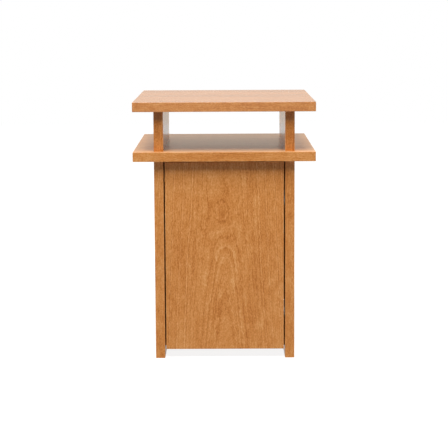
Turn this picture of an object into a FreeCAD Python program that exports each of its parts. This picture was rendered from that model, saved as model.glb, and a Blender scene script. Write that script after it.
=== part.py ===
import FreeCAD, Part
import math
import os
from FreeCAD import Vector

os.makedirs("parts", exist_ok=True)

# A side table with an open shelf over a small cabinet, in millimetres.
# X runs to the right, the front faces -Y, and Z = 0 is the floor.  The origin is the
# centre of the footprint of the two boards.

# ---------------------------------------------------------------- driving dimensions
# Top and middle boards
board_width = 432.0
board_depth = 520.0
board_thickness = 22.5
overall_height = 618.0
shelf_gap = 95.0                # clear height of the open shelf between the boards
edge_easing = 0.8               # rounding of the edges that hands touch

# Uprights: the two short ones of the open shelf and the two sides of the cabinet
side_overhang = 49.0            # boards past the uprights' outer faces
front_overhang = 20.0
back_overhang = 110.0
upright_thickness = 22.5

# Door
door_thickness = 19.0
door_bottom_height = 22.0
door_reveal = 3.0               # gap at each side and at the top

# Cabinet floor, back and inner shelf
floor_thickness = 18.0
floor_above_door_bottom = 3.0
floor_behind_door = 9.0         # room for the door's back corner as it turns
back_thickness = 6.0
back_inset = 10.0               # back panel in front of the uprights' back edge
groove_depth = 8.0
groove_clearance = 0.2          # all round the back panel's edge
inner_shelf_thickness = 18.0
inner_shelf_height = 250.0      # underside of the inner shelf above the floor
inner_shelf_setback = 15.0      # behind the door
inner_shelf_side_clearance = 2.0
inner_shelf_back_clearance = 2.0

# Shelf supports and their rows of holes
peg_radius = 2.5
peg_hole_depth = 10.0
peg_row_inset = 45.0            # from the shelf's front and back edges
peg_pitch = 32.0
pegs_above_and_below = 1        # spare holes each side of the one in use
peg_flange_width = 8.0
peg_flange_height = 13.0
peg_flange_thickness = 1.6
peg_tongue_length = 11.0
peg_tongue_thickness = 2.0

# Dowels
dowel_radius = 4.0
dowel_length = 36.0
dowel_in_face = 13.0            # length of a dowel that sits in the face of a board
dowel_hole_spare = 1.0          # hole deeper than the dowel
dowels_per_joint = 3
dowel_end_margin = 50.0         # first and last dowel from the ends of a joint
dowel_stagger = 30.0            # cabinet dowels shifted back from those above them

# Back panel screws
back_screw_radius = 1.6
back_screw_length = 26.0
back_screw_head_radius = 3.2
back_screw_head_height = 1.8
back_screw_margin = 40.0
back_screw_count = 3

# Cup hinges, measured from the hinge side's inner face and from the door's front
hinge_end_distance = 90.0       # hinge centres from the door's top and bottom
hinge_pivot_inward = 17.0
hinge_pivot_depth = 9.0
cup_radius = 17.5
cup_edge_distance = 5.0         # wood left between the cup's bore and the door's edge
cup_depth = 13.0
cup_wall = 1.0
cup_flange_thickness = 1.2
cup_flange_lip = 2.0
cup_screw_spacing = 48.0
cup_screw_offset = 6.0
cup_screw_length = 12.0
cup_ear_radius = 6.5
cheek_thickness = 3.0
cheek_half_length = 5.0
cheek_above_pivot = 4.0
pin_radius = 1.5
pin_running_clearance = 0.05
pin_eye_wall = 1.15
arm_width = 16.0
arm_thickness = 2.5
arm_side_clearance = 0.6
arm_bend_radius = 5.0
arm_rise_angle = 14.0           # degrees, from the door's plane
arm_neck_inward = 34.0
arm_neck_behind_door = 12.0
arm_foot_inward = 10.0
arm_foot_length = 50.0
arm_skirt_depth = 5.0
arm_skirt_thickness = 1.25
plate_setback = 37.0            # plate screws behind the door's back face
plate_screw_spacing = 32.0
plate_wing_width = 14.0
plate_wing_length = 46.0
plate_wing_thickness = 2.5
plate_ridge_width = 12.0
plate_ridge_length = 46.0
arm_screw_spacing = 22.0
arm_screw_radius = 2.0
arm_screw_length = 8.0
arm_screw_head_radius = 3.8
arm_screw_head_height = 2.2
hinge_screw_radius = 1.75
hinge_screw_head_radius = 3.6
hinge_screw_head_height = 2.0
plate_screw_length = 15.0

# Touch latch under the middle board, near the door's free edge
latch_from_free_side = 48.0     # from the inner face of the side away from the hinges
latch_axis_drop = 11.0          # plunger axis below the middle board
latch_body_length = 64.0
latch_body_width = 15.0
latch_body_height = 18.5
latch_body_rounding = 2.0
latch_wing_width = 33.0
latch_wing_length = 22.0
latch_wing_thickness = 2.5
latch_screw_spacing = 24.0
latch_screw_length = 14.0
plunger_radius = 4.2
plunger_length = 40.0
plunger_clearance = 0.3
plunger_stroke = 3.0
plunger_tip_radius = 5.5
plunger_tip_length = 3.5
plunger_tip_gap = 0.2           # between the closed door's strike plate and the tip
strike_width = 34.0
strike_height = 12.0
strike_thickness = 1.2
strike_screw_spacing = 22.0
strike_screw_length = 10.0

# ---------------------------------------------------------------- dependent places
half_body = board_width / 2 - side_overhang
half_opening = half_body - upright_thickness
board_front = -board_depth / 2
upright_front = board_front + front_overhang
upright_back = -board_front - back_overhang
top_underside = overall_height - board_thickness
middle_top = top_underside - shelf_gap
middle_underside = middle_top - board_thickness

door_front = upright_front
door_back = door_front + door_thickness
door_half_width = half_opening - door_reveal
door_top = middle_underside - door_reveal

floor_underside = door_bottom_height + floor_above_door_bottom
floor_front = door_back + floor_behind_door
back_panel_back = upright_back - back_inset
back_panel_front = back_panel_back - back_thickness

hinge_heights = (door_bottom_height + hinge_end_distance, door_top - hinge_end_distance)
cup_inward = door_reveal + cup_edge_distance + cup_radius
cup_bottom_depth = door_thickness - cup_depth
plate_depth = door_thickness + plate_setback
arm_foot_underside = arm_foot_inward - arm_thickness / 2

latch_x = -half_opening + latch_from_free_side
latch_z = middle_underside - latch_axis_drop
plunger_tip_front = door_back + strike_thickness + plunger_tip_gap
latch_body_front = plunger_tip_front + plunger_tip_length + plunger_stroke


# ---------------------------------------------------------------- general shapes
def block(x_range, y_range, z_range):
    """A rectangular solid between the given limits."""
    corner = Vector(x_range[0], y_range[0], z_range[0])
    size = (x_range[1] - x_range[0], y_range[1] - y_range[0], z_range[1] - z_range[0])
    return Part.makeBox(size[0], size[1], size[2], corner)


def eased(panel, lies_on_edge):
    """Round the panel's edges for which lies_on_edge says yes."""
    edges = [edge for edge in panel.Edges if lies_on_edge(edge.CenterOfMass)]
    return panel.makeFillet(edge_easing, edges)


def turned(profile, base, direction):
    """Revolve a closed (radius, height) profile and stand it on base along direction."""
    points = [Vector(radius, 0, height) for radius, height in profile]
    face = Part.Face(Part.makePolygon(points + points[:1]))
    solid = face.revolve(Vector(0, 0, 0), Vector(0, 0, 1), 360)
    solid.Placement = FreeCAD.Placement(base, FreeCAD.Rotation(Vector(0, 0, 1), direction))
    return solid


def cylinder(radius, length, base, direction):
    return Part.makeCylinder(radius, length, base, direction)


def countersunk_screw(radius, head_radius, head_height, length, face_point, direction):
    """A screw whose flat head lies flush with the face it enters."""
    profile = [
        (0, 0),
        (head_radius, 0),
        (radius, head_height),
        (radius, length),
        (0, length),
    ]
    return turned(profile, face_point, direction)


def pan_screw(radius, head_radius, head_height, length, face_point, direction):
    """A screw whose domed head stands on the face that it clamps."""
    crown_radius = head_radius * 0.7
    profile = [
        (0, -head_height),
        (crown_radius, -head_height),
        (head_radius, -head_height / 2),
        (head_radius, 0),
        (radius, 0),
        (radius, length),
        (0, length),
    ]
    return turned(profile, face_point, direction)


def spread(first, last, count):
    """Evenly spaced values from first to last."""
    step = (last - first) / (count - 1)
    return [first + step * index for index in range(count)]


def joined(shapes):
    return Part.makeCompound(shapes)


# ---------------------------------------------------------------- dowels
dowel_in_end = dowel_length - dowel_in_face
upright_dowel_ys = spread(upright_front + dowel_end_margin,
                          upright_back - dowel_end_margin - dowel_stagger, dowels_per_joint)
floor_dowel_ys = spread(floor_front + dowel_end_margin,
                        back_panel_front - dowel_end_margin, dowels_per_joint)
upright_middle = half_body - upright_thickness / 2
up = Vector(0, 0, 1)
down = Vector(0, 0, -1)


def dowel_and_hole(joint_point, into_face):
    """A dowel across a joint, and the longer hole that both pieces are drilled with."""
    start = joint_point - into_face * dowel_in_end
    dowel = cylinder(dowel_radius, dowel_length, start, into_face)
    hole_start = start - into_face * dowel_hole_spare
    hole = cylinder(dowel_radius, dowel_length + 2 * dowel_hole_spare, hole_start, into_face)
    return dowel, hole


def dowel_row(side, height, into_board, shift):
    """Dowels and holes for one upright's joint with a board at the given height."""
    points = [Vector(side * upright_middle, y + shift, height) for y in upright_dowel_ys]
    return [dowel_and_hole(point, into_board) for point in points]


def floor_dowel_row(side):
    """Dowels and holes between the cabinet floor and one side panel."""
    height = floor_underside + floor_thickness / 2
    points = [Vector(side * half_opening, y, height) for y in floor_dowel_ys]
    return [dowel_and_hole(point, Vector(side, 0, 0)) for point in points]


top_dowels = dowel_row(-1, top_underside, up, 0) + dowel_row(1, top_underside, up, 0)
support_dowels = dowel_row(-1, middle_top, down, 0) + dowel_row(1, middle_top, down, 0)
side_dowels = (dowel_row(-1, middle_underside, up, dowel_stagger)
               + dowel_row(1, middle_underside, up, dowel_stagger))
floor_dowels = floor_dowel_row(-1) + floor_dowel_row(1)


def drilled(panel, dowels):
    """The panel with the holes of those dowels."""
    return panel.cut([hole for dowel, hole in dowels])


# ---------------------------------------------------------------- boards and uprights
def board(underside):
    """A wide board with all its edges eased."""
    panel = block((-board_width / 2, board_width / 2), (board_front, -board_front),
                  (underside, underside + board_thickness))
    return eased(panel, lambda centre: True)


def shelf_board(half_width, front, back, underside, thickness):
    """A board inside the cabinet, with the long edges of its front eased."""
    panel = block((-half_width, half_width), (front, back), (underside, underside + thickness))
    return eased(panel, lambda centre: abs(centre.y - front) < edge_easing
                 and abs(centre.x) < edge_easing)


def upright(side, bottom, top):
    """An upright whose edges are eased along its front and its back."""
    outer = side * half_body
    inner = side * half_opening
    panel = block((min(outer, inner), max(outer, inner)),
                  (upright_front, upright_back), (bottom, top))
    middle_height = (bottom + top) / 2
    return eased(panel, lambda centre: abs(centre.z - middle_height) < edge_easing)


def back_panel():
    half_width = half_opening + groove_depth - groove_clearance
    return block((-half_width, half_width), (back_panel_front, back_panel_back),
                 (floor_underside, middle_underside))


def back_groove():
    """The slot for the back panel, open into both side panels."""
    half_width = half_opening + groove_depth
    return block((-half_width, half_width),
                 (back_panel_front - groove_clearance, back_panel_back + groove_clearance),
                 (floor_underside - groove_clearance, middle_underside))


def cabinet_floor():
    return shelf_board(half_opening, floor_front, back_panel_front, floor_underside,
                       floor_thickness)


def back_screws():
    """Countersunk screws through the back panel into the cabinet floor's back edge."""
    height = floor_underside + floor_thickness / 2
    reach = half_opening - back_screw_margin
    return [countersunk_screw(back_screw_radius, back_screw_head_radius,
                              back_screw_head_height, back_screw_length,
                              Vector(x, back_panel_back, height), Vector(0, -1, 0))
            for x in spread(-reach, reach, back_screw_count)]


# ---------------------------------------------------------------- inner shelf and pegs
shelf_front = door_back + inner_shelf_setback
shelf_back = back_panel_front - inner_shelf_back_clearance
peg_ys = (shelf_front + peg_row_inset, shelf_back - peg_row_inset)
peg_height = inner_shelf_height - peg_flange_height / 2


def inner_shelf():
    return shelf_board(half_opening - inner_shelf_side_clearance, shelf_front, shelf_back,
                       inner_shelf_height, inner_shelf_thickness)


def shelf_peg(side, y):
    """A spade peg: a shank in the side panel, a flange on it and a tongue under the shelf."""
    face = side * half_opening
    inward = Vector(-side, 0, 0)
    shank_start = Vector(face, y, peg_height) - inward * peg_hole_depth
    shank = cylinder(peg_radius, peg_hole_depth, shank_start, inward)
    outline = [
        (0, inner_shelf_height - peg_flange_height),
        (peg_flange_thickness, inner_shelf_height - peg_flange_height),
        (peg_flange_thickness, inner_shelf_height - peg_tongue_thickness),
        (peg_tongue_length, inner_shelf_height - peg_tongue_thickness),
        (peg_tongue_length, inner_shelf_height),
        (0, inner_shelf_height),
    ]
    half_width = peg_flange_width / 2
    points = [Vector(face - side * reach, y - half_width, z) for reach, z in outline]
    spade = Part.Face(Part.makePolygon(points + points[:1])).extrude(Vector(0, peg_flange_width, 0))
    return shank.fuse(spade)


def peg_holes(side):
    """Rows of holes in one side panel, one front and one back."""
    steps = range(-pegs_above_and_below, pegs_above_and_below + 1)
    return [cylinder(peg_radius, peg_hole_depth,
                     Vector(side * half_opening, y, peg_height + step * peg_pitch),
                     Vector(side, 0, 0))
            for y in peg_ys for step in steps]


# ---------------------------------------------------------------- cup hinges
def from_hinge_side(inward, depth, z):
    """A point given from the hinge side's inner face and from the door's front."""
    return Vector(half_opening - inward, door_front + depth, z)


def arm_outline_wire(z):
    """The centre line of the cranked arm, from the pivot to the end of its foot."""
    neck_run = arm_neck_inward - hinge_pivot_inward
    rise = neck_run * math.tan(math.radians(arm_rise_angle))
    turn_depth = door_thickness + arm_neck_behind_door
    corners = [
        from_hinge_side(hinge_pivot_inward, hinge_pivot_depth, z),
        from_hinge_side(arm_neck_inward, hinge_pivot_depth + rise, z),
        from_hinge_side(arm_neck_inward, turn_depth, z),
        from_hinge_side(arm_foot_inward, turn_depth, z),
        from_hinge_side(arm_foot_inward, turn_depth + arm_foot_length, z),
    ]
    return rounded_path(corners, arm_bend_radius)


def rounded_path(corners, bend_radius):
    """A wire through the corners, with each inner corner as a tangent arc."""
    edges = []
    start = corners[0]
    for before, corner, after in zip(corners, corners[1:], corners[2:]):
        incoming = (corner - before).normalize()
        outgoing = (after - corner).normalize()
        half_turn = incoming.getAngle(outgoing) / 2
        arc_start = corner - incoming * (bend_radius * math.tan(half_turn))
        arc_end = corner + outgoing * (bend_radius * math.tan(half_turn))
        inside = (outgoing - incoming).normalize()
        arc_middle = corner + inside * (bend_radius / math.cos(half_turn) - bend_radius)
        edges.append(Part.LineSegment(start, arc_start).toShape())
        edges.append(Part.Arc(arc_start, arc_middle, arc_end).toShape())
        start = arc_end
    edges.append(Part.LineSegment(start, corners[-1]).toShape())
    return Part.Wire(edges)


def arm_screw_depths():
    """Depths of the two screws that clamp the arm to its plate."""
    return (plate_depth - arm_screw_spacing / 2, plate_depth + arm_screw_spacing / 2)


def arm_screws(z):
    """The clamping and the adjusting screw, from the arm's foot into the plate."""
    outer = arm_foot_inward + arm_thickness / 2
    return [pan_screw(arm_screw_radius, arm_screw_head_radius, arm_screw_head_height,
                      arm_screw_length, from_hinge_side(outer, depth, z), Vector(1, 0, 0))
            for depth in arm_screw_depths()]


def plate_screws(z):
    """The two screws that hold a mounting plate on the side panel."""
    return [countersunk_screw(hinge_screw_radius, hinge_screw_head_radius,
                              hinge_screw_head_height, plate_screw_length,
                              from_hinge_side(plate_wing_thickness, plate_depth, z + offset),
                              Vector(1, 0, 0))
            for offset in (-plate_screw_spacing / 2, plate_screw_spacing / 2)]


def cup_screws(z):
    """The two screws that hold a cup's ears on the door's back."""
    depth = door_thickness + cup_flange_thickness
    inward = cup_inward + cup_screw_offset
    return [countersunk_screw(hinge_screw_radius, hinge_screw_head_radius,
                              cup_flange_thickness, cup_screw_length,
                              from_hinge_side(inward, depth, z + offset), Vector(0, -1, 0))
            for offset in (-cup_screw_spacing / 2, cup_screw_spacing / 2)]


def hinge_arm(z):
    """A pressed arm: an eye on the pin, a crank round the door's edge and a skirted foot."""
    pivot = from_hinge_side(hinge_pivot_inward, hinge_pivot_depth, z)
    path = arm_outline_wire(z)
    along = path.Edges[0].tangentAt(path.Edges[0].FirstParameter)
    across = Vector(-along.y, along.x, 0) * (arm_thickness / 2)
    half_width = up * (arm_width / 2)
    corners = [pivot + across + half_width, pivot - across + half_width,
               pivot - across - half_width, pivot + across - half_width]
    section = Part.makePolygon(corners + corners[:1])
    strip = path.makePipeShell([section], True, False)

    foot_start = door_thickness + arm_neck_behind_door + arm_bend_radius
    foot_end = door_thickness + arm_neck_behind_door + arm_foot_length
    skirts = []
    for side in (-1, 1):
        outer = z + side * arm_width / 2
        inner = outer - side * arm_skirt_thickness
        top = from_hinge_side(arm_foot_inward, foot_end, max(outer, inner))
        bottom = from_hinge_side(arm_foot_underside - arm_skirt_depth, foot_start,
                                 min(outer, inner))
        skirts.append(block((top.x, bottom.x), (bottom.y, top.y), (bottom.z, top.z)))

    eye_radius = pin_radius + pin_eye_wall
    eye_base = pivot - half_width
    eye = cylinder(eye_radius, arm_width, eye_base, up)
    bore = cylinder(pin_radius + pin_running_clearance, arm_width, eye_base, up)
    return strip.fuse([eye] + skirts).cut([bore] + arm_screws(z)).removeSplitter()


def hinge_plate(z):
    """A cross-shaped mounting plate: two screwed wings and a ridge that carries the arm."""
    base = from_hinge_side(0, plate_depth, z)
    wing_end = plate_wing_width / 2
    wing_reach = (plate_wing_length - plate_wing_width) / 2
    into_room = Vector(-1, 0, 0)
    wing = block((base.x - plate_wing_thickness, base.x), (base.y - wing_end, base.y + wing_end),
                 (z - wing_reach, z + wing_reach))
    ends = [cylinder(wing_end, plate_wing_thickness, base + up * offset, into_room)
            for offset in (-wing_reach, wing_reach)]
    half_ridge = plate_ridge_length / 2
    ridge = block((base.x - arm_foot_underside, base.x),
                  (base.y - half_ridge, base.y + half_ridge),
                  (z - plate_ridge_width / 2, z + plate_ridge_width / 2))
    plate = wing.fuse(ends + [ridge]).cut(plate_screws(z) + arm_screws(z))
    return plate.removeSplitter()


def cup_bore(z):
    """The blind bore in the door's back."""
    base = from_hinge_side(cup_inward, cup_bottom_depth, z)
    return cylinder(cup_radius, cup_depth, base, Vector(0, 1, 0))


def hinge_cup(z):
    """A cup with a rim, two screw ears and two cheeks that hold the pin."""
    back = Vector(0, 1, 0)
    outer_base = from_hinge_side(cup_inward, cup_bottom_depth, z)
    inner_radius = cup_radius - cup_wall
    rim_base = from_hinge_side(cup_inward, door_thickness, z)
    rim = cylinder(cup_radius + cup_flange_lip, cup_flange_thickness, rim_base, back)
    ear_x = rim_base.x - cup_screw_offset
    half_spacing = cup_screw_spacing / 2
    ears = [cylinder(cup_ear_radius, cup_flange_thickness,
                     Vector(ear_x, rim_base.y, z + offset), back)
            for offset in (-half_spacing, half_spacing)]
    strap = block((ear_x - cup_ear_radius, ear_x + cup_ear_radius),
                  (rim_base.y, rim_base.y + cup_flange_thickness),
                  (z - half_spacing, z + half_spacing))
    can = cylinder(cup_radius, cup_depth, outer_base, back)
    hollow = cylinder(inner_radius, cup_depth + cup_flange_thickness,
                      outer_base + back * cup_wall, back)
    shell = can.fuse([rim, strap] + ears).cut(hollow)

    cheek_inner = arm_width / 2 + arm_side_clearance
    pivot = from_hinge_side(hinge_pivot_inward, hinge_pivot_depth, z)
    cheek_top = pivot.y + cheek_above_pivot
    cheeks = []
    for side in (-1, 1):
        limits = sorted((z + side * cheek_inner, z + side * (cheek_inner + cheek_thickness)))
        cheek = block((pivot.x - cheek_half_length, pivot.x + cheek_half_length),
                      (outer_base.y, cheek_top), limits)
        cheeks.append(cheek.common(can))
    eye_room = pin_radius + pin_eye_wall + arm_side_clearance
    window = block((pivot.x - eye_room, pivot.x + eye_room),
                   (outer_base.y, outer_base.y + cup_wall), (z - cheek_inner, z + cheek_inner))
    return shell.fuse(cheeks).cut([window, hinge_pin(z)] + cup_screws(z)).removeSplitter()


def hinge_pin(z):
    """The pin between the cup's cheeks, through the arm's eye."""
    half_length = arm_width / 2 + arm_side_clearance + cheek_thickness
    base = from_hinge_side(hinge_pivot_inward, hinge_pivot_depth, z - half_length)
    return cylinder(pin_radius, 2 * half_length, base, up)


# ---------------------------------------------------------------- door
strike_screw_xs = (latch_x - strike_screw_spacing / 2, latch_x + strike_screw_spacing / 2)


def strike_screws():
    """The two screws that hold the strike plate on the door's back."""
    face = door_back + strike_thickness
    return [countersunk_screw(hinge_screw_radius, hinge_screw_head_radius, strike_thickness,
                              strike_screw_length, Vector(x, face, latch_z), Vector(0, -1, 0))
            for x in strike_screw_xs]


def strike_plate():
    """A steel plate with rounded ends that meets the latch's magnet."""
    end_radius = strike_height / 2
    reach = strike_width / 2 - end_radius
    back = Vector(0, 1, 0)
    middle = block((latch_x - reach, latch_x + reach), (door_back, door_back + strike_thickness),
                   (latch_z - end_radius, latch_z + end_radius))
    ends = [cylinder(end_radius, strike_thickness, Vector(x, door_back, latch_z), back)
            for x in (latch_x - reach, latch_x + reach)]
    return middle.fuse(ends).cut(strike_screws()).removeSplitter()


def door_panel():
    """The inset door, eased all round, with the hinge bores and the screw holes."""
    panel = block((-door_half_width, door_half_width), (door_front, door_back),
                  (door_bottom_height, door_top))
    panel = eased(panel, lambda centre: True)
    cutters = strike_screws()
    for z in hinge_heights:
        cutters.append(cup_bore(z))
        cutters.extend(cup_screws(z))
    return panel.cut(cutters)


# ---------------------------------------------------------------- touch latch
latch_screw_y = latch_body_front + latch_body_length / 2


def latch_screws():
    """The two screws up through the latch's wings into the middle board."""
    face = middle_underside - latch_wing_thickness
    return [countersunk_screw(hinge_screw_radius, hinge_screw_head_radius,
                              hinge_screw_head_height, latch_screw_length,
                              Vector(latch_x + offset, latch_screw_y, face), up)
            for offset in (-latch_screw_spacing / 2, latch_screw_spacing / 2)]


def latch_body():
    """The latch's housing, hung from two wings, with the plunger's bore open in front."""
    body = block((latch_x - latch_body_width / 2, latch_x + latch_body_width / 2),
                 (latch_body_front, latch_body_front + latch_body_length),
                 (middle_underside - latch_body_height, middle_underside))
    long_edges = [edge for edge in body.Edges
                  if abs(edge.CenterOfMass.y - latch_screw_y) < latch_body_rounding
                  and edge.CenterOfMass.z < latch_z]
    body = body.makeFillet(latch_body_rounding, long_edges)
    wings = block((latch_x - latch_wing_width / 2, latch_x + latch_wing_width / 2),
                  (latch_screw_y - latch_wing_length / 2, latch_screw_y + latch_wing_length / 2),
                  (middle_underside - latch_wing_thickness, middle_underside))
    bore_depth = plunger_length + 2 * plunger_stroke
    bore = cylinder(plunger_radius + plunger_clearance, bore_depth,
                    Vector(latch_x, latch_body_front, latch_z), Vector(0, 1, 0))
    return body.fuse(wings).cut([bore] + latch_screws()).removeSplitter()


def latch_plunger():
    """The sliding plunger with its wider magnetic tip."""
    shank_end = plunger_tip_length + plunger_stroke + plunger_length
    profile = [
        (0, 0),
        (plunger_tip_radius, 0),
        (plunger_tip_radius, plunger_tip_length),
        (plunger_radius, plunger_tip_length),
        (plunger_radius, shank_end),
        (0, shank_end),
    ]
    return turned(profile, Vector(latch_x, plunger_tip_front, latch_z), Vector(0, 1, 0))


# ---------------------------------------------------------------- all the pieces
every_plate_screw = [screw for z in hinge_heights for screw in plate_screws(z)]
back_fixings = back_screws()


def side_panel(side):
    """A cabinet side: dowel holes, the back panel's groove and the rows of peg holes."""
    panel = upright(side, 0, middle_underside)
    cutters = [back_groove()] + peg_holes(side)
    if side > 0:
        cutters = cutters + every_plate_screw
    return drilled(panel, side_dowels + floor_dowels).cut(cutters)


pieces = {
    "top_board": drilled(board(top_underside), top_dowels),
    "middle_board": drilled(board(middle_top - board_thickness),
                            support_dowels + side_dowels).cut(latch_screws()),
    "upper_support_left": drilled(upright(-1, middle_top, top_underside),
                                  top_dowels + support_dowels),
    "upper_support_right": drilled(upright(1, middle_top, top_underside),
                                   top_dowels + support_dowels),
    "side_panel_left": side_panel(-1),
    "side_panel_right": side_panel(1),
    "cabinet_floor": drilled(cabinet_floor(), floor_dowels).cut(back_fixings),
    "back_panel": back_panel().cut(back_fixings),
    "inner_shelf": inner_shelf(),
    "shelf_pegs": joined([shelf_peg(side, y) for side in (-1, 1) for y in peg_ys]),
    "upper_dowels": joined([dowel for dowel, hole in top_dowels + support_dowels]),
    "side_dowels": joined([dowel for dowel, hole in side_dowels]),
    "floor_dowels": joined([dowel for dowel, hole in floor_dowels]),
    "back_screws": joined(back_fixings),
    "hinge_plate_screws": joined(every_plate_screw),
    "hinge_arm_screws": joined([screw for z in hinge_heights for screw in arm_screws(z)]),
    "door_panel": door_panel(),
    "hinge_cup_screws": joined([screw for z in hinge_heights for screw in cup_screws(z)]),
    "strike_plate": strike_plate(),
    "strike_screws": joined(strike_screws()),
    "latch_body": latch_body(),
    "latch_screws": joined(latch_screws()),
    "latch_plunger": latch_plunger(),
}
for place, z in zip(("lower", "upper"), hinge_heights):
    pieces["hinge_plate_" + place] = hinge_plate(z)
    pieces["hinge_arm_" + place] = hinge_arm(z)
    pieces["hinge_cup_" + place] = hinge_cup(z)
    pieces["hinge_pin_" + place] = hinge_pin(z)

for name, shape in pieces.items():
    shape.exportStep("parts/" + name + ".step")
    print(name, "solids", len(shape.Solids), "valid", shape.isValid())
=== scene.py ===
import math
import bpy
from mathutils import Matrix, Vector


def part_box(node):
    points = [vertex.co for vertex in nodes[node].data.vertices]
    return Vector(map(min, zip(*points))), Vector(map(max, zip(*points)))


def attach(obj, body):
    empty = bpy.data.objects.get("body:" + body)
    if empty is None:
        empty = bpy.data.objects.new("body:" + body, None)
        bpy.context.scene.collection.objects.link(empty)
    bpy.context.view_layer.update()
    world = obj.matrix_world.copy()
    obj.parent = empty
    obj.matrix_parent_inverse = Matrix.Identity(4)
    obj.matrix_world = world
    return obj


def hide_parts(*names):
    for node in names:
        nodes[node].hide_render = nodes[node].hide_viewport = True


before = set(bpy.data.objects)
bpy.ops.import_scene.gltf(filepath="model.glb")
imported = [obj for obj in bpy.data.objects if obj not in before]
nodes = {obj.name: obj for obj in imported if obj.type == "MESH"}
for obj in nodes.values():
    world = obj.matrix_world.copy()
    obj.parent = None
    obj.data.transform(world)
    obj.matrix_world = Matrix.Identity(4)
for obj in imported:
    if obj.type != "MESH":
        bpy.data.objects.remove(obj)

bpy.ops.object.select_all(action="DESELECT")
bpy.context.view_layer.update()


# ------------------------------------------------------------------ camera
# A long lens a little above the table top, in front of its middle and looking slightly
# down.  It stands well back, so that the uprights stay nearly parallel.
mm = 0.001
camera_place = (4.0 * mm, -3763.3 * mm, 838.6 * mm)
camera_pitch = 0.1443           # radians below the horizon
camera_yaw = 0.0015
camera_roll = -0.0048
lens_data = bpy.data.cameras.new("camera")
lens_data.sensor_width = 36.0
lens_data.lens = 119.97
camera = bpy.data.objects.new("camera", lens_data)
bpy.context.scene.collection.objects.link(camera)
camera.matrix_world = (Matrix.Translation(camera_place)
                       @ Matrix.Rotation(camera_yaw, 4, "Z")
                       @ Matrix.Rotation(math.pi / 2 - camera_pitch, 4, "X")
                       @ Matrix.Rotation(camera_roll, 4, "Z"))
bpy.context.scene.camera = camera
bpy.context.scene.view_settings.view_transform = "Standard"


# ------------------------------------------------------------------ key light
# One large soft box high in front of the table and well away from it, so that the boards
# throw a soft shadow of about two fingers' height on the door and the supports.
key_elevation = math.radians(61)
key_distance = 8.0              # m
key_power = 1060.0              # W
lit_point = Vector((0.0, -0.24, 0.45))      # on the front, just under the middle board
key_data = bpy.data.lights.new("key", "AREA")
key_data.shape = "RECTANGLE"
key_data.size = 5.2
key_data.size_y = 5.0
key_data.energy = key_power
key = bpy.data.objects.new("key", key_data)
bpy.context.scene.collection.objects.link(key)
key_direction = Vector((-0.04, -math.cos(key_elevation), math.sin(key_elevation)))
key.location = lit_point + key_direction * key_distance
key.rotation_euler = key_direction.to_track_quat("Z", "Y").to_euler()


# ------------------------------------------------------------------ studio
# A white sweep: pale walls low down at the sides and the back light the table, the room
# behind the camera is dark, and what looks past the table sees plain white.  The walls'
# paint is a warm cream, which shows only where a gloss mirrors it.
wall_level = 3.0                # of the light that the walls give, where 1 is white
dark_level = 0.03               # of the ceiling and of the room behind the camera
mirrored_levels = (0.05, 0.95)  # of the dark room and of the walls, seen in a gloss


def add_node(tree, kind, settings=None, inputs=None):
    """Add a shader node, set its properties, and set or link its inputs."""
    node = tree.nodes.new(kind)
    for name, value in (settings or {}).items():
        setattr(node, name, value)
    for name, value in (inputs or {}).items():
        socket = node.inputs[name]
        if isinstance(value, bpy.types.NodeSocket):
            tree.links.new(value, socket)
        else:
            socket.default_value = value
    return node


def linear_colour(hex_colour):
    """The linear colour of an sRGB hex value."""
    values = [int(hex_colour[i:i + 2], 16) / 255 for i in (1, 3, 5)]
    linear = [v / 12.92 if v <= 0.04045 else ((v + 0.055) / 1.055) ** 2.4 for v in values]
    return (*linear, 1.0)


white = linear_colour("#FFFFFF")
wall_paint = linear_colour("#FFF0DD")
world = bpy.data.worlds.new("studio")
bpy.context.scene.world = world
world.use_nodes = True
room = world.node_tree
room.nodes.clear()
ray = add_node(room, "ShaderNodeLightPath").outputs

# The way a ray goes, as a unit vector: Y is away from the camera and Z is up.
towards = add_node(room, "ShaderNodeTexCoord").outputs["Generated"]
towards = add_node(room, "ShaderNodeSeparateXYZ", None, {0: towards}).outputs
not_front = add_node(room, "ShaderNodeMapRange", None,
                     {"Value": towards["Y"], "From Min": -0.6, "From Max": 0.1,
                      "To Min": dark_level, "To Max": wall_level}).outputs[0]
low_down = add_node(room, "ShaderNodeMapRange", None,
                    {"Value": towards["Z"], "From Min": 0.1, "From Max": 0.6,
                     "To Min": 1.0, "To Max": dark_level}).outputs[0]
walls = add_node(room, "ShaderNodeMath", {"operation": "MULTIPLY"},
                 {0: not_front, 1: low_down}).outputs[0]
mirrored = add_node(room, "ShaderNodeMapRange", None,
                    {"Value": towards["Y"], "From Min": -0.7, "From Max": 0.5,
                     "To Min": mirrored_levels[0], "To Max": mirrored_levels[1]}).outputs[0]
level = add_node(room, "ShaderNodeMix", {"data_type": "FLOAT"},
                 {0: ray["Is Glossy Ray"], 2: walls, 3: mirrored}).outputs[0]
looks_past = add_node(room, "ShaderNodeMath", {"operation": "MAXIMUM"},
                      {0: ray["Is Camera Ray"], 1: ray["Is Transmission Ray"]}).outputs[0]
level = add_node(room, "ShaderNodeMix", {"data_type": "FLOAT"},
                 {0: looks_past, 2: level, 3: 1.0}).outputs[0]
paint = add_node(room, "ShaderNodeMix", {"data_type": "RGBA"},
                 {0: ray["Is Glossy Ray"], 6: white, 7: wall_paint}).outputs[2]
backdrop = add_node(room, "ShaderNodeBackground", None, {"Color": paint, "Strength": level})
add_node(room, "ShaderNodeOutputWorld", None, {"Surface": backdrop.outputs[0]})


# ------------------------------------------------------------------ floor
# The sweep's floor: matt paint on board, mid grey in its own light.  Seen by the camera or
# in a gloss it is lifted to plain white, and it still takes the table's soft shadow.
floor_size = 14.0               # m
floor_lift = 0.88               # light added to the paint where the floor is looked at


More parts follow.
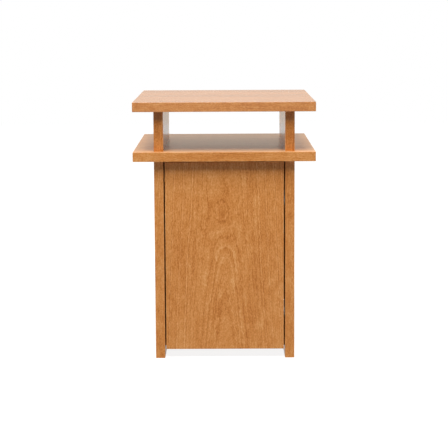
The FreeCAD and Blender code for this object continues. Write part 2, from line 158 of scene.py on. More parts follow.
def new_material(name):
    """A material and its empty node tree."""
    material = bpy.data.materials.new(name)
    material.use_nodes = True
    material.node_tree.nodes.clear()
    return material, material.node_tree


bpy.ops.mesh.primitive_plane_add(size=floor_size, location=(0, 0, 0))
floor = bpy.context.object
floor.name = "studio_floor"
sweep_paint, tree = new_material("sweep_paint")
ray = add_node(tree, "ShaderNodeLightPath").outputs
looks_past = add_node(tree, "ShaderNodeMath", {"operation": "MAXIMUM"},
                      {0: ray["Is Camera Ray"], 1: ray["Is Glossy Ray"]}).outputs[0]
looks_past = add_node(tree, "ShaderNodeMath", {"operation": "MAXIMUM"},
                      {0: looks_past, 1: ray["Is Transmission Ray"]}).outputs[0]
matt = add_node(tree, "ShaderNodeBsdfDiffuse", None, {"Color": linear_colour("#8A8A89")})
lift = add_node(tree, "ShaderNodeEmission", None, {"Color": white, "Strength": floor_lift})
lifted = add_node(tree, "ShaderNodeAddShader", None, {0: matt.outputs[0], 1: lift.outputs[0]})
either = add_node(tree, "ShaderNodeMixShader", None,
                  {0: looks_past, 1: matt.outputs[0], 2: lifted.outputs[0]})
add_node(tree, "ShaderNodeOutputMaterial", None, {"Surface": either.outputs[0]})
floor.data.materials.append(sweep_paint)
floor.select_set(False)


# ------------------------------------------------------------------ boards
# The top and the middle board: plain-sawn maple, edge-glued from wide staves with the
# grain from side to side, wiped with a honey stain and sprayed with a satin lacquer.
ring_spacing = 1.8              # mm, between growth rings
ring_waver = 4.0                # mm, that a ring wavers about its cone
fibre_drift = 9.0               # mm, that the fibres wander from a straight line
next_stave = 613.0              # mm along the tree, from one stave's wood to the next one's
next_piece = 911.0              # mm along the tree, from one piece's wood to the next one's
stave_numbers = 17.0            # kept for each piece, so that its staves have their own tones
stave_spread = 0.05             # of a stave's tone, either way
knot_stain = 0.08               # more stain in a swelling of the grain
end_stain = 0.22                # more stain in end grain
end_turn = (0.75, 0.98)         # of a face towards the grain, from side grain to end grain
edge_wear_and_highlight = 0.08                # less stain on an eased edge, and a painted highlight along it
pale_edge_width = (0.2, 1.1)         # mm from the edge, where it is fully paler and where it is not paler at all
lacquer_ior = 1.42
stain_tones = {0.0: "#783910", 0.3: "#AD6522", 0.5: "#C6803C", 0.7: "#D6995B", 1.0: "#EABB86"}

# Length and width in mm, detail, and share in the tone.  Real fibres and flecks are a third
# as wide: they are drawn coarser, so that they show.
wood_figure = (
    (45.0, 2.0, 1.0, 0.15),     # fibres
    (4.5, 2.4, 2.0, 0.62),      # flecks of the rays
    (24.0, 12.0, 1.0, 0.30),    # cloudy figure
    (260.0, 48.0, 1.0, 0.30),   # uneven stain
)


def millimetres(tree):
    """The place on the piece, in mm in the table's own frame."""
    return add_node(tree, "ShaderNodeVectorMath", {"operation": "SCALE"},
                    {0: add_node(tree, "ShaderNodeTexCoord").outputs["Object"],
                     "Scale": 1 / mm}).outputs[0]


def streaks(tree, place, length, width, detail):
    """Streaks along the grain, in mm: a noise from 0 to 1 about a mean of a half."""
    stretched = add_node(tree, "ShaderNodeMapping", None,
                         {"Vector": place, "Scale": (1 / length, 1 / width, 1 / width)})
    noise = add_node(tree, "ShaderNodeTexNoise", None,
                     {"Vector": stretched.outputs[0], "Scale": 1.0, "Detail": detail})
    return noise.outputs["Fac"]


def edge_distance(tree, place, corners):
    """How far a point of a box's surface lies from the box's nearest edge, all in mm."""
    middle = [(a + b) / 2 for a, b in zip(*corners)]
    offset = add_node(tree, "ShaderNodeVectorMath", {"operation": "SUBTRACT"},
                      {0: place, 1: middle}).outputs[0]
    offset = add_node(tree, "ShaderNodeVectorMath", {"operation": "ABSOLUTE"}, {0: offset})
    half = [abs(b - a) / 2 for a, b in zip(*corners)]
    inside = add_node(tree, "ShaderNodeVectorMath", {"operation": "SUBTRACT"},
                      {0: half, 1: offset.outputs[0]}).outputs[0]
    a, b, c = add_node(tree, "ShaderNodeSeparateXYZ", None, {0: inside}).outputs
    smaller = add_node(tree, "ShaderNodeMath", {"operation": "MINIMUM"}, {0: a, 1: b}).outputs[0]
    larger = add_node(tree, "ShaderNodeMath", {"operation": "MAXIMUM"}, {0: a, 1: b}).outputs[0]
    larger = add_node(tree, "ShaderNodeMath", {"operation": "MINIMUM"},
                      {0: larger, 1: c}).outputs[0]
    return add_node(tree, "ShaderNodeMath", {"operation": "MAXIMUM"},
                    {0: smaller, 1: larger}).outputs[0]


def glued_staves(tree, along, across, depth, stave, seed):
    """Each stave's number, its place up its tree and its wood's place in it, in mm."""
    number = add_node(tree, "ShaderNodeMath", {"operation": "DIVIDE"}, {0: across, 1: stave})
    number = add_node(tree, "ShaderNodeMath", {"operation": "ROUND"},
                      {0: number.outputs[0]}).outputs[0]
    from_middle = add_node(tree, "ShaderNodeMath", {"operation": "MULTIPLY_ADD"},
                           {0: number, 1: -stave, 2: across}).outputs[0]
    up_tree = add_node(tree, "ShaderNodeMath", {"operation": "MULTIPLY_ADD"},
                       {0: number, 1: next_stave, 2: along}).outputs[0]
    wood = add_node(tree, "ShaderNodeCombineXYZ", None, {0: up_tree, 1: from_middle, 2: depth})
    wood = add_node(tree, "ShaderNodeVectorMath", {"operation": "ADD"},
                    {0: wood.outputs[0], 1: (seed * next_piece, 0.0, 0.0)}).outputs[0]
    drift = add_node(tree, "ShaderNodeMapping", None,
                     {"Vector": wood, "Scale": (1 / 210, 1 / 60, 1 / 60)})
    drift = add_node(tree, "ShaderNodeTexNoise", None,
                     {"Vector": drift.outputs[0], "Scale": 1.0, "Detail": 2.0})
    wood = add_node(tree, "ShaderNodeVectorMath", {"operation": "MULTIPLY_ADD"},
                    {0: drift.outputs["Color"], 1: (0.0, fibre_drift, fibre_drift), 2: wood})
    return number, up_tree, wood.outputs[0]


def swelling(tree, in_mm, centre, length, width):
    """A bump from 0 to 1 about a point, in mm, the same all through a piece along Y."""
    depth = 1e6                 # mm, so great that only X and Z count
    offset = add_node(tree, "ShaderNodeMapping", {"vector_type": "TEXTURE"},
                      {"Vector": in_mm, "Location": centre, "Scale": (width, depth, length)})
    square = add_node(tree, "ShaderNodeVectorMath", {"operation": "DOT_PRODUCT"},
                      {0: offset.outputs[0], 1: offset.outputs[0]}).outputs["Value"]
    square = add_node(tree, "ShaderNodeMath", {"operation": "MULTIPLY"}, {0: square, 1: -1.0})
    return add_node(tree, "ShaderNodeMath", {"operation": "EXPONENT"},
                    {0: square.outputs[0]}).outputs[0]


def growth_rings(tree, wood, pith, lifts):
    """Cones about the pith, cut by the face into tall pointed arches: a noise, 0 to 1.

    lifts are what widens the rings, each with its height in mm.
    """
    radius = add_node(tree, "ShaderNodeMapping", None,
                      {"Vector": wood, "Scale": (0.0, 1.0, 1.0),
                       "Location": (0.0, -fibre_drift / 2, -fibre_drift / 2 - pith)})
    growth = add_node(tree, "ShaderNodeVectorMath", {"operation": "LENGTH"},
                      {0: radius.outputs[0]}).outputs["Value"]
    waver = streaks(tree, wood, 12.0, 6.0, 1.0)
    for part, share in (*lifts, (waver, ring_waver)):
        growth = add_node(tree, "ShaderNodeMath", {"operation": "MULTIPLY_ADD"},
                          {0: part, 1: share, 2: growth}).outputs[0]
    rings = add_node(tree, "ShaderNodeMath", {"operation": "MULTIPLY"},
                     {0: growth, 1: 1 / ring_spacing}).outputs[0]
    return add_node(tree, "ShaderNodeTexNoise", {"noise_dimensions": "1D"},
                    {"W": rings, "Scale": 1.0, "Detail": 3.0}).outputs["Fac"]


def stained_maple(node_name, axes, stave, pith, seed, taper=0.04, tone=0.0, painted_face_light=0.0,
                  ring_share=0.3, knot=None, lacquer=(0.36, 1.1)):
    """Stained maple for one CAD node: honey brown, softly flecked, under a satin gloss.

    axes names the directions along, across and into the wood.  stave is the width of the
    boards that are glued side by side and pith how far the tree's middle lies from the
    node's lower face in the last direction, in mm.  seed is the node's place in the tree,
    and taper how far the growth rings lean per mm along the grain.  tone is how pale the
    stain is; on the supports it is painted shade as well.  The face tone is how much paler
    the broad faces are painted than the edges: painted light above nought, and painted
    shade below it.
    ring_share is how plainly the rings show.  knot is a swelling of the grain: its centre,
    how far it lifts the rings, its length and its width, in mm.  lacquer is its roughness,
    and the IOR of the wood below it, which is low where the lacquer wets the wood.
    """
    material, tree = new_material("stained_maple_" + node_name)
    in_mm = millimetres(tree)
    split = add_node(tree, "ShaderNodeSeparateXYZ", None, {0: in_mm}).outputs
    corners = [[value / mm for value in corner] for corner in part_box(node_name)]
    lower_face = corners[0]["XYZ".index(axes[2])]
    number, up_tree, wood = glued_staves(tree, *(split[axis] for axis in axes), stave, seed)
    ring_lifts, tones = [(up_tree, taper)], []
    if knot:
        centre, height, length, width = knot
        swell = swelling(tree, in_mm, centre, length, width)
        ring_lifts.append((swell, height))
        tones.append((swell, -knot_stain))
    figure = [(growth_rings(tree, wood, lower_face + pith, ring_lifts), ring_share)]
    figure += [(streaks(tree, wood, *shape), share) for *shape, share in wood_figure]

    # On the broad faces each glued stave has its own tone.  The face tone is added there too:
    # painted light where it is above nought, painted shade where it is below.
    own_number = add_node(tree, "ShaderNodeMath", {"operation": "ADD"},
                          {0: number, 1: seed * stave_numbers + 0.5}).outputs[0]
    stave_tone_and_painted_light = add_node(tree, "ShaderNodeTexWhiteNoise", {"noise_dimensions": "1D"},
                          {"W": own_number}).outputs["Value"]
    stave_tone_and_painted_light = add_node(tree, "ShaderNodeMapRange", None,
                          {"Value": stave_tone_and_painted_light, "To Min": painted_face_light - stave_spread,
                           "To Max": painted_face_light + stave_spread}).outputs[0]
    facing = add_node(tree, "ShaderNodeTexCoord").outputs["Normal"]
    facing = add_node(tree, "ShaderNodeSeparateXYZ", None, {0: facing}).outputs
    broad = add_node(tree, "ShaderNodeMath", {"operation": "ABSOLUTE"},
                     {0: facing[axes[2]]}).outputs[0]

    # End grain drinks more stain.  The eased edges are paler: sanding leaves less stain on
    # them, and a painted highlight along them stands in for the light that they catch.
    end_grain = add_node(tree, "ShaderNodeMath", {"operation": "ABSOLUTE"},
                         {0: facing[axes[0]]}).outputs[0]
    end_grain = add_node(tree, "ShaderNodeMapRange", None,
                         {"Value": end_grain, "From Min": end_turn[0],
                          "From Max": end_turn[1]}).outputs[0]
    worn_and_highlit_edge = add_node(tree, "ShaderNodeMapRange", None,
                    {"Value": edge_distance(tree, in_mm, corners), "From Min": pale_edge_width[0],
                     "From Max": pale_edge_width[1], "To Min": 1.0, "To Max": 0.0}).outputs[0]

    # Each pattern of the figure is darker and paler about its mean of a half.
    shade = 0.5 + tone - sum(share / 2 for pattern, share in figure)
    # Here the broad faces' painted light and shade and the edges' painted highlight join the stain's
    # own tones.
    tones += [*figure, (broad, stave_tone_and_painted_light), (end_grain, -end_stain), (worn_and_highlit_edge, edge_wear_and_highlight)]
    for part, share in tones:
        shade = add_node(tree, "ShaderNodeMath", {"operation": "MULTIPLY_ADD"},
                         {0: part, 1: share, 2: shade}).outputs[0]

    # Dark, open wood lies a little lower and is a little rougher than pale wood.
    colour = add_node(tree, "ShaderNodeValToRGB", None, {"Fac": shade})
    ramp = colour.color_ramp
    for stop in sorted(stain_tones)[1:-1]:
        ramp.elements.new(stop)
    for element in ramp.elements:
        element.color = linear_colour(stain_tones[round(element.position, 3)])
    relief = add_node(tree, "ShaderNodeBump", None,
                      {"Height": shade, "Strength": 0.25, "Distance": 0.05 * mm}).outputs[0]
    roughness = add_node(tree, "ShaderNodeMapRange", None,
                         {"Value": shade, "To Min": 0.6, "To Max": 0.45}).outputs[0]
    lacquer_roughness, wood_ior = lacquer
    shader = add_node(tree, "ShaderNodeBsdfPrincipled", None,
                      {"Base Color": colour.outputs[0], "Roughness": roughness, "IOR": wood_ior,
                       "Coat Weight": 1.0, "Coat Roughness": lacquer_roughness,
                       "Coat IOR": lacquer_ior, "Normal": relief, "Coat Normal": relief})
    add_node(tree, "ShaderNodeOutputMaterial", None, {"Surface": shader.outputs[0]})
    return material


def dress(node_name, material):
    """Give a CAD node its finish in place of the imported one."""
    slots = nodes[node_name].data.materials
    slots.clear()
    slots.append(material)


# The top is rubbed to a higher gloss than the rest.  Its broad faces are painted darker:
# painted shade, standing in for less light falling on the top.
dress("top_board", stained_maple("top_board", "XYZ", stave=104.0, pith=-40.0, seed=1.0,
                                 painted_face_light=-0.30, lacquer=(0.22, 1.6)))
# The middle board's broad faces are painted a little paler: painted light in the shade under the
# top.
dress("middle_board", stained_maple("middle_board", "XYZ", stave=104.0, pith=-35.0, seed=2.0,
                                    tone=0.03, painted_face_light=0.08, lacquer=(0.30, 1.1)))


# ------------------------------------------------------------------ uprights
# The two short supports of the open shelf and, in line with them, the two cabinet sides:
# the same maple with the grain upright.
upright_stave = 97.5            # mm
upright_pith = 45.0             # mm

# The supports' narrow edges are painted darker, the right one's more: painted shade for
# the top board's shadow on their fronts, and for less light on the right.  Their broad
# faces are painted a little paler than the side panels': painted light in the shelf's gap.
for name, seed, tone in (("upper_support_left", 3.0, -0.10),
                         ("upper_support_right", 4.0, -0.16)):
    dress(name, stained_maple(name, "ZYX", upright_stave, upright_pith, seed, tone=tone,
                              painted_face_light=0.06 - tone, lacquer=(0.23, 1.1)))
for name, seed in (("side_panel_left", 5.0), ("side_panel_right", 6.0)):
    dress(name, stained_maple(name, "ZYX", upright_stave, upright_pith, seed, tone=-0.01))


# ------------------------------------------------------------------ door
# One wide plain-sawn board with its grain upright: tall pointed arches about a swelling
# a third of the way down, and calmer wood towards the hinges.
door_knot = ((-6.0, -240.0, 354.0), 15.0, 60.0, 27.0)
dress("door_panel", stained_maple("door_panel", "ZXY", stave=400.0, pith=80.0, seed=13.0,
                                  tone=0.05, ring_share=0.65, knot=door_knot))


# ------------------------------------------------------------------ cabinet inside
# The cabinet floor, the loose shelf and the thin back, finished like the outside.
for name, seed in (("cabinet_floor", 8.0), ("inner_shelf", 9.0)):
    dress(name, stained_maple(name, "XYZ", stave=96.0, pith=-50.0, seed=seed, taper=0.05))
dress("back_panel", stained_maple("back_panel", "ZXY", stave=151.0, pith=60.0, seed=10.0,
                                  taper=0.05))


# ------------------------------------------------------------------ dowels
# Beech dowels with pressed flutes and chamfered ends, glued into the ends of the uprights
# and of the cabinet floor.  They are left bare: pale and dry, with short darker flecks.
dowel_radius = 4.0 * mm
dowel_length = 36.0 * mm
dowel_chamfer = 1.0 * mm
flutes = 12
flute_depth = 0.3 * mm
smooth_angle = math.radians(35)


def drawn_up(name, profile, sides):
    """A round solid through (radius, height) pairs, drawn up from a circle on its foot."""
    foot_radius, foot_height = profile[0]
    bpy.ops.mesh.primitive_circle_add(vertices=sides, radius=foot_radius,
                                      fill_type="NGON", location=(0, 0, foot_height))
    piece = bpy.context.object
    piece.name = name
    bpy.ops.object.mode_set(mode="EDIT")
    bpy.ops.mesh.select_all(action="SELECT")
    for (before, start), (after, end) in zip(profile, profile[1:]):
        bpy.ops.mesh.extrude_region_move(TRANSFORM_OT_translate={"value": (0, 0, end - start)})
        bpy.ops.transform.resize(value=(after / before, after / before, 1.0),
                                 center_override=(0, 0, end))
    bpy.ops.mesh.select_all(action="SELECT")
    bpy.ops.mesh.normals_make_consistent(inside=False)
    bpy.ops.object.mode_set(mode="OBJECT")
    bpy.ops.object.transform_apply(location=True, rotation=True, scale=True)
    return piece


def set_in_place(name, master, places, direction, node_name, body):
    """Copies of a master, turned from +Z to a direction, as one piece for a CAD node."""
    turn = Vector((0, 0, 1)).rotation_difference(Vector(direction)).to_matrix().to_4x4()
    bpy.ops.object.select_all(action="DESELECT")
    for place in places:
        copy = master.copy()
        copy.data = master.data.copy()
        copy.data.transform(Matrix.Translation(place) @ turn)
        bpy.context.scene.collection.objects.link(copy)
        copy.select_set(True)
        bpy.context.view_layer.objects.active = copy
    if len(places) > 1:
        bpy.ops.object.join()
    piece = bpy.context.object
    piece.name = name
    bpy.ops.object.shade_smooth_by_angle(angle=smooth_angle)
    piece.select_set(False)
    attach(piece, body)
    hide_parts(node_name)
    return piece


def bare_beech(name, along):
    """Unfinished beech whose grain follows the given axis, X or Z."""
    material, tree = new_material(name)
    split = add_node(tree, "ShaderNodeSeparateXYZ", None, {0: millimetres(tree)}).outputs
    across = "X" if along == "Z" else "Z"
    grain = add_node(tree, "ShaderNodeCombineXYZ", None,
                     {0: split[along], 1: split[across], 2: split["Y"]}).outputs[0]
    shade = add_node(tree, "ShaderNodeMath", {"operation": "ADD"},
                     {0: streaks(tree, grain, 30.0, 0.9, 1.0),
                      1: streaks(tree, grain, 3.5, 0.6, 1.0)}).outputs[0]
    shade = add_node(tree, "ShaderNodeMath", {"operation": "MULTIPLY"}, {0: shade, 1: 0.5})
    colour = add_node(tree, "ShaderNodeValToRGB", None, {"Fac": shade.outputs[0]})
    colour.color_ramp.elements[0].color = linear_colour("#9C7046")
    colour.color_ramp.elements[1].color = linear_colour("#E3C79E")
    relief = add_node(tree, "ShaderNodeBump", None,
                      {"Height": shade.outputs[0], "Strength": 0.4, "Distance": 0.08 * mm})
    shader = add_node(tree, "ShaderNodeBsdfPrincipled", None,
                      {"Base Color": colour.outputs[0], "Roughness": 0.7, "IOR": 1.45,
                       "Normal": relief.outputs[0]})
    add_node(tree, "ShaderNodeOutputMaterial", None, {"Surface": shader.outputs[0]})
    return material


dowel = drawn_up("dowel", [(dowel_radius - dowel_chamfer, 0.0), (dowel_radius, dowel_chamfer),
                           (dowel_radius, dowel_length - dowel_chamfer),
                           (dowel_radius - dowel_chamfer, dowel_length)], 4 * flutes)

# One of every four lines of points along the dowel is the floor of a flute.
for vertex in dowel.data.vertices:
    step = round(math.atan2(vertex.co.y, vertex.co.x) / (math.pi / (2 * flutes)))
    between_ends = dowel_chamfer / 2 < vertex.co.z < dowel_length - dowel_chamfer / 2
    vertex.select = step % 4 == 0 and between_ends
for group in (dowel.data.edges, dowel.data.polygons):
    for part in group:
        part.select = False
flute_floor = 1 - flute_depth / dowel_radius
bpy.ops.object.mode_set(mode="EDIT")
bpy.ops.mesh.select_mode(type="VERT")
bpy.ops.transform.resize(value=(flute_floor, flute_floor, 1.0), center_override=(0, 0, 0))
bpy.ops.object.mode_set(mode="OBJECT")

upright_beech = bare_beech("bare_beech_upright", "Z")
for node_name in ("upper_dowels", "side_dowels"):
    low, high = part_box(node_name)
    rows = (low[2], high[2] - dowel_length) if node_name == "upper_dowels" else (low[2],)
    places = [Vector((x, y, z)) for x in (low[0] + dowel_radius, high[0] - dowel_radius)
              for y in (low[1] + dowel_radius, (low[1] + high[1]) / 2, high[1] - dowel_radius)
              for z in rows]
    piece = set_in_place("fluted_" + node_name, dowel, places, (0, 0, 1), node_name, "carcass")
    piece.data.materials.append(upright_beech)
low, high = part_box("floor_dowels")
places = [Vector((x, y, (low[2] + high[2]) / 2)) for x in (low[0], high[0] - dowel_length)
          for y in (low[1] + dowel_radius, (low[1] + high[1]) / 2, high[1] - dowel_radius)]
piece = set_in_place("fluted_floor_dowels", dowel, places, (1, 0, 0), "floor_dowels", "carcass")
piece.data.materials.append(bare_beech("bare_beech_lying", "X"))
bpy.data.objects.remove(dowel, do_unlink=True)


# ------------------------------------------------------------------ shelf pegs
# Four spade pegs stamped and turned from steel and nickel plated: bright and faintly warm,
# with a soft unevenness left by the tumbling before the bath.
def plated_steel(name, thin, thick, roughness, patch, lines):
    """Plated steel: patches of thinner and thicker plate, patch mm wide, under fine lines.

    lines gives the spacing in mm, per axis, of the marks that rolling or turning leaves.
    """
    material, tree = new_material(name)
    in_mm = millimetres(tree)
    patches = add_node(tree, "ShaderNodeTexNoise", None,
                       {"Vector": in_mm, "Scale": 1 / patch, "Detail": 3.0}).outputs["Fac"]
    marks = add_node(tree, "ShaderNodeMapping", None,
                     {"Vector": in_mm, "Scale": tuple(1 / spacing for spacing in lines)})
    marks = add_node(tree, "ShaderNodeTexNoise", None,
                     {"Vector": marks.outputs[0], "Scale": 1.0, "Detail": 2.0}).outputs["Fac"]
    colour = add_node(tree, "ShaderNodeValToRGB", None, {"Fac": patches})
    colour.color_ramp.elements[0].color = linear_colour(thin)
    colour.color_ramp.elements[0].position = 0.3
    colour.color_ramp.elements[1].color = linear_colour(thick)
    colour.color_ramp.elements[1].position = 0.7
    wear = add_node(tree, "ShaderNodeMath", {"operation": "MULTIPLY"}, {0: patches, 1: marks})
    gloss = add_node(tree, "ShaderNodeMapRange", None,
                     {"Value": wear.outputs[0], "From Min": 0.15, "From Max": 0.4,
                      "To Min": roughness[0], "To Max": roughness[1]}).outputs[0]
    relief = add_node(tree, "ShaderNodeBump", None,
                      {"Height": marks, "Strength": 0.3, "Distance": 0.02 * mm}).outputs[0]
    shader = add_node(tree, "ShaderNodeBsdfPrincipled", None,
                      {"Base Color": colour.outputs[0], "Metallic": 1.0, "Roughness": gloss,
                       "Normal": relief})
    add_node(tree, "ShaderNodeOutputMaterial", None, {"Surface": shader.outputs[0]})
    return material


dress("shelf_pegs", plated_steel("nickel_plated_pegs", "#B9B3A8", "#D6D2C9", (0.22, 0.36), 3.0,
                                 (0.25, 4.0, 0.25)))


# ------------------------------------------------------------------ screws
# Zinc-plated steel wood screws with a cross recess, and the two machine screws of each
# hinge arm.  The thread is rolled, the head is upset, and the recess is punched cold.
screw_sides = 32
wood_thread_pitch = 1.5 * mm
machine_thread_pitch = 0.7 * mm
thread_steps = 20               # of one turn of a thread
recess_span = 0.85              # of the cross, against the head's width
recess_width = 0.36             # of one arm of the cross, against the head's radius
recess_taper = 0.4              # of the cross's floor, against its mouth
dome_angles = (66, 50, 34, 17, 0)           # degrees up a pan head's side
dome_share = 0.65               # of a pan head's height

# Zinc: cool and bright, a little dulled in patches.
zinc_plate = plated_steel("zinc_plated_screws", "#A8ABB0", "#CACCCB", (0.28, 0.45), 1.5,
                          (0.3, 0.3, 0.3))


def punch_cross(screw, face, span, width, depth):
    """Cut a tapered cross into the screw's face at the given height."""
    for turn in (0.0, math.pi / 2):
        bpy.ops.mesh.primitive_cube_add(size=1.0, location=(0, 0, face), rotation=(0, 0, turn))
        arm = bpy.context.object
        arm.scale = (span, width, 2 * depth)
        bpy.ops.object.transform_apply(location=True, rotation=True, scale=True)
        for vertex in arm.data.vertices:
            vertex.select = vertex.co.z > face
        for group in (arm.data.edges, arm.data.polygons):
            for part in group:
                part.select = all(arm.data.vertices[i].select for i in part.vertices)
        bpy.ops.object.mode_set(mode="EDIT")
        bpy.ops.transform.resize(value=(recess_taper, recess_taper, 1.0),
                                 center_override=(0, 0, face + depth))
        bpy.ops.object.mode_set(mode="OBJECT")
        bpy.ops.object.select_all(action="DESELECT")
        screw.select_set(True)
        bpy.context.view_layer.objects.active = screw
        cut = screw.modifiers.new("recess", "BOOLEAN")
        cut.operation = "DIFFERENCE"
        cut.solver = "EXACT"
        cut.object = arm
        bpy.ops.object.modifier_apply(modifier=cut.name)
        bpy.data.objects.remove(arm, do_unlink=True)


def roll_thread(screw, core, crest, start, end, pitch):
    """Wind a thread round the screw's core, and join it to the screw."""
    tooth = (crest - core) / 1.4    # it is 1.5 times this deep, so its foot is in the core
    bpy.ops.mesh.primitive_circle_add(vertices=3, radius=tooth, fill_type="NOTHING",
                                      location=(crest - tooth, 0, start),
                                      rotation=(-math.pi / 2, -math.pi / 2, 0))
    thread = bpy.context.object
    bpy.ops.object.transform_apply(location=True, rotation=True, scale=True)
    winding = thread.modifiers.new("winding", "SCREW")
    winding.screw_offset = pitch
    winding.iterations = max(1, int((end - start) / pitch))
    winding.steps = winding.render_steps = thread_steps
    winding.use_merge_vertices = True
    winding.merge_threshold = 1e-6
    bpy.ops.object.modifier_apply(modifier=winding.name)
    bpy.ops.object.mode_set(mode="EDIT")
    bpy.ops.mesh.select_all(action="SELECT")
    bpy.ops.mesh.fill_holes(sides=0)
    bpy.ops.mesh.select_all(action="SELECT")
    bpy.ops.mesh.normals_make_consistent(inside=False)
    bpy.ops.object.mode_set(mode="OBJECT")
    screw.select_set(True)
    bpy.context.view_layer.objects.active = screw
    bpy.ops.object.join()


def countersunk_screw(name, radius, head_radius, head_height, length):
    """A wood screw at the origin, head flush with Z = 0, pointing up."""
    core = radius - 0.4 * mm
    screw = drawn_up(name, [(head_radius * 0.97, 0.0), (head_radius, 0.1 * mm),
                            (head_radius, 0.25 * mm), (radius * 0.9, head_height),
                            (radius * 0.9, head_height + 1.0 * mm),
                            (core, head_height + 1.3 * mm),
                            (core, length - 2.2 * mm), (0.15 * mm, length)], screw_sides)
    depth = min(head_height + 0.6 * mm, 1.6 * mm)
    punch_cross(screw, 0.0, 2 * head_radius * recess_span, head_radius * recess_width, depth)
    roll_thread(screw, core, radius, head_height + 1.6 * mm, length - 2.4 * mm,
                wood_thread_pitch)
    return screw


def pan_screw(name, radius, head_radius, head_height, length):
    """A machine screw at the origin, its domed head below Z = 0, pointing up."""
    core = radius - 0.35 * mm
    dome = [(head_radius * math.cos(math.radians(angle)),
             -head_height * (1 - dome_share + dome_share * math.sin(math.radians(angle))))
            for angle in dome_angles]
    screw = drawn_up(name, [*dome, (head_radius, 0.0), (core, 0.01 * mm),
                            (core, length - 0.4 * mm), (core * 0.7, length)], screw_sides)
    punch_cross(screw, dome[0][1], 2 * head_radius * recess_span,
                head_radius * recess_width, 1.5 * mm)
    roll_thread(screw, core, radius, 0.5 * mm, length - 0.5 * mm, machine_thread_pitch)
    return screw


def drive(name, master, places, direction, node_name, body):
    """One piece of screws at their places, plated, in place of a CAD node."""
    piece = set_in_place(name, master, places, direction, node_name, body)
    piece.data.materials.append(zinc_plate)
    bpy.data.objects.remove(master, do_unlink=True)


def middle(node_name):
    """The middle of a CAD node's box."""
    low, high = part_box(node_name)
    return (Vector(low) + Vector(high)) / 2


hinge_names = ("lower", "upper")
plate_screw_spacing = 32.0 * mm
arm_screw_spacing = 22.0 * mm
cup_screw_spacing = 48.0 * mm
strike_screw_spacing = 22.0 * mm
latch_screw_spacing = 24.0 * mm
hinge_screw = (1.75 * mm, 3.6 * mm)     # radius of the thread and of the head

low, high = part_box("back_screws")
head = (high[2] - low[2]) / 2
master = countersunk_screw("master", 1.6 * mm, head, 1.8 * mm, high[1] - low[1])
drive("back_panel_screws", master, [Vector((x, high[1], (low[2] + high[2]) / 2))
                                    for x in (low[0] + head, 0.0, high[0] - head)],
      (0, -1, 0), "back_screws", "carcass")

low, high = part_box("hinge_plate_screws")
master = countersunk_screw("master", *hinge_screw, 2.0 * mm, high[0] - low[0])
drive("mounting_plate_screws", master,
      [Vector((low[0], middle("hinge_plate_screws").y, middle("hinge_plate_" + hinge).z + side))
       for hinge in hinge_names for side in (-plate_screw_spacing / 2, plate_screw_spacing / 2)],
      (1, 0, 0), "hinge_plate_screws", "carcass")

low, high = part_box("hinge_arm_screws")
arm_head_height = 2.2 * mm
master = pan_screw("master", 2.0 * mm, 3.8 * mm, arm_head_height,
                   high[0] - low[0] - arm_head_height)
drive("arm_clamp_screws", master,
      [Vector((low[0] + arm_head_height, middle("hinge_arm_screws").y + side,
               middle("hinge_arm_" + hinge).z))
       for hinge in hinge_names for side in (-arm_screw_spacing / 2, arm_screw_spacing / 2)],
      (1, 0, 0), "hinge_arm_screws", "carcass")

low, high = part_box("hinge_cup_screws")
master = countersunk_screw("master", *hinge_screw, 1.2 * mm, high[1] - low[1])
drive("cup_ear_screws", master,
      [Vector((middle("hinge_cup_screws").x, high[1], middle("hinge_cup_" + hinge).z + side))
       for hinge in hinge_names for side in (-cup_screw_spacing / 2, cup_screw_spacing / 2)],
      (0, -1, 0), "hinge_cup_screws", "door")

low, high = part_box("strike_screws")
master = countersunk_screw("master", *hinge_screw, 1.2 * mm, high[1] - low[1])
drive("strike_plate_screws", master,
      [Vector((middle("strike_screws").x + side, high[1], middle("strike_screws").z))
       for side in (-strike_screw_spacing / 2, strike_screw_spacing / 2)],
      (0, -1, 0), "strike_screws", "door")

low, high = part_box("latch_screws")
master = countersunk_screw("master", *hinge_screw, 2.0 * mm, high[2] - low[2])
drive("latch_wing_screws", master,
      [Vector((middle("latch_screws").x + side, middle("latch_screws").y, low[2]))
       for side in (-latch_screw_spacing / 2, latch_screw_spacing / 2)],
      (0, 0, 1), "latch_screws", "carcass")


# ------------------------------------------------------------------ hinges
# Concealed cup hinges: deep-drawn cups, cranked arms and cross-shaped mounting plates of
# pressed steel, and plain ground pins.  The nickel is bright and faintly warm, and the
# ground steel darker, with fine rings about each pin.
nickel_plate = plated_steel("nickel_plated_hinges", "#B4AFA6", "#D2CFC8", (0.2, 0.34), 5.0,
                            (0.5, 6.0, 0.5))
for hinge in hinge_names:
    for part in ("cup", "arm", "plate"):
        dress("hinge_" + part + "_" + hinge, nickel_plate)
ground_steel = plated_steel("ground_steel_pins", "#8B8C8E", "#A3A4A6", (0.25, 0.4), 2.0,
                            (3.0, 3.0, 0.15))
for hinge in hinge_names:
    dress("hinge_pin_" + hinge, ground_steel)


# ------------------------------------------------------------------ touch latch
# A spring latch in a moulded brown housing, with a black plunger.  Its magnet holds the
# door by a strike plate punched from zinc-plated sheet: cool, and drawn from side to side.
plunger_radius = 4.2 * mm
plunger_tip_radius = 5.5 * mm
plunger_tip_length = 3.45 * mm  # a hair short of the housing when it is pressed home
magnet_radius = 4.0 * mm
plunger_sides = 48


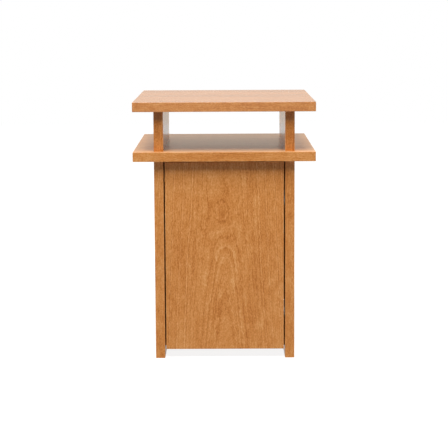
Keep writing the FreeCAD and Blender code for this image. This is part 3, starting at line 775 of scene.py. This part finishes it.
def moulded_plastic(name, colour, pale, roughness):
    """ABS from a spark-eroded mould: an even colour under a fine matt grain."""
    material, tree = new_material(name)
    in_mm = millimetres(tree)
    grain = add_node(tree, "ShaderNodeTexNoise", None,
                     {"Vector": in_mm, "Scale": 1 / 0.35, "Detail": 2.0}).outputs["Fac"]
    flow = add_node(tree, "ShaderNodeTexNoise", None,
                    {"Vector": in_mm, "Scale": 1 / 14.0, "Detail": 1.0}).outputs["Fac"]
    tint = add_node(tree, "ShaderNodeMix", {"data_type": "RGBA"},
                    {0: flow, 6: linear_colour(colour), 7: linear_colour(pale)}).outputs[2]
    gloss = add_node(tree, "ShaderNodeMapRange", None,
                     {"Value": grain, "To Min": roughness - 0.08,
                      "To Max": roughness + 0.08}).outputs[0]
    relief = add_node(tree, "ShaderNodeBump", None,
                      {"Height": grain, "Strength": 0.35, "Distance": 0.03 * mm}).outputs[0]
    shader = add_node(tree, "ShaderNodeBsdfPrincipled", None,
                      {"Base Color": tint, "Roughness": gloss, "IOR": 1.54, "Normal": relief})
    add_node(tree, "ShaderNodeOutputMaterial", None, {"Surface": shader.outputs[0]})
    return material


dress("latch_body", moulded_plastic("moulded_brown_housing", "#4A3222", "#523828", 0.5))
low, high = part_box("latch_plunger")
length = high[1] - low[1]
plunger = drawn_up("plunger", [(magnet_radius, 0.2 * mm), (magnet_radius + 0.15 * mm, 0.2 * mm),
                               (magnet_radius + 0.3 * mm, 0.0), (plunger_tip_radius - 0.5 * mm, 0.0),
                               (plunger_tip_radius - 0.15 * mm, 0.15 * mm),
                               (plunger_tip_radius, 0.5 * mm),
                               (plunger_tip_radius, plunger_tip_length - 0.3 * mm),
                               (plunger_tip_radius - 0.3 * mm, plunger_tip_length),
                               (plunger_radius, plunger_tip_length),
                               (plunger_radius, length - 0.5 * mm),
                               (plunger_radius - 0.5 * mm, length)], plunger_sides)
piece = set_in_place("plunger_with_magnet", plunger,
                     [Vector((middle("latch_plunger").x, low[1], middle("latch_plunger").z))],
                     (0, 1, 0), "latch_plunger", "plunger")
bpy.data.objects.remove(plunger, do_unlink=True)
piece.data.materials.append(moulded_plastic("moulded_black_plunger", "#18181A", "#1F1F21", 0.42))
piece.data.materials.append(nickel_plate)

# The magnet is the one round face that looks at the door.
for face in piece.data.polygons:
    if face.normal.y < -0.99 and len(face.vertices) == plunger_sides:
        face.material_index = 1
dress("strike_plate", plated_steel("zinc_plated_sheet", "#A3A6AB", "#C4C6C6", (0.26, 0.4), 4.0,
                                   (8.0, 0.3, 0.3)))
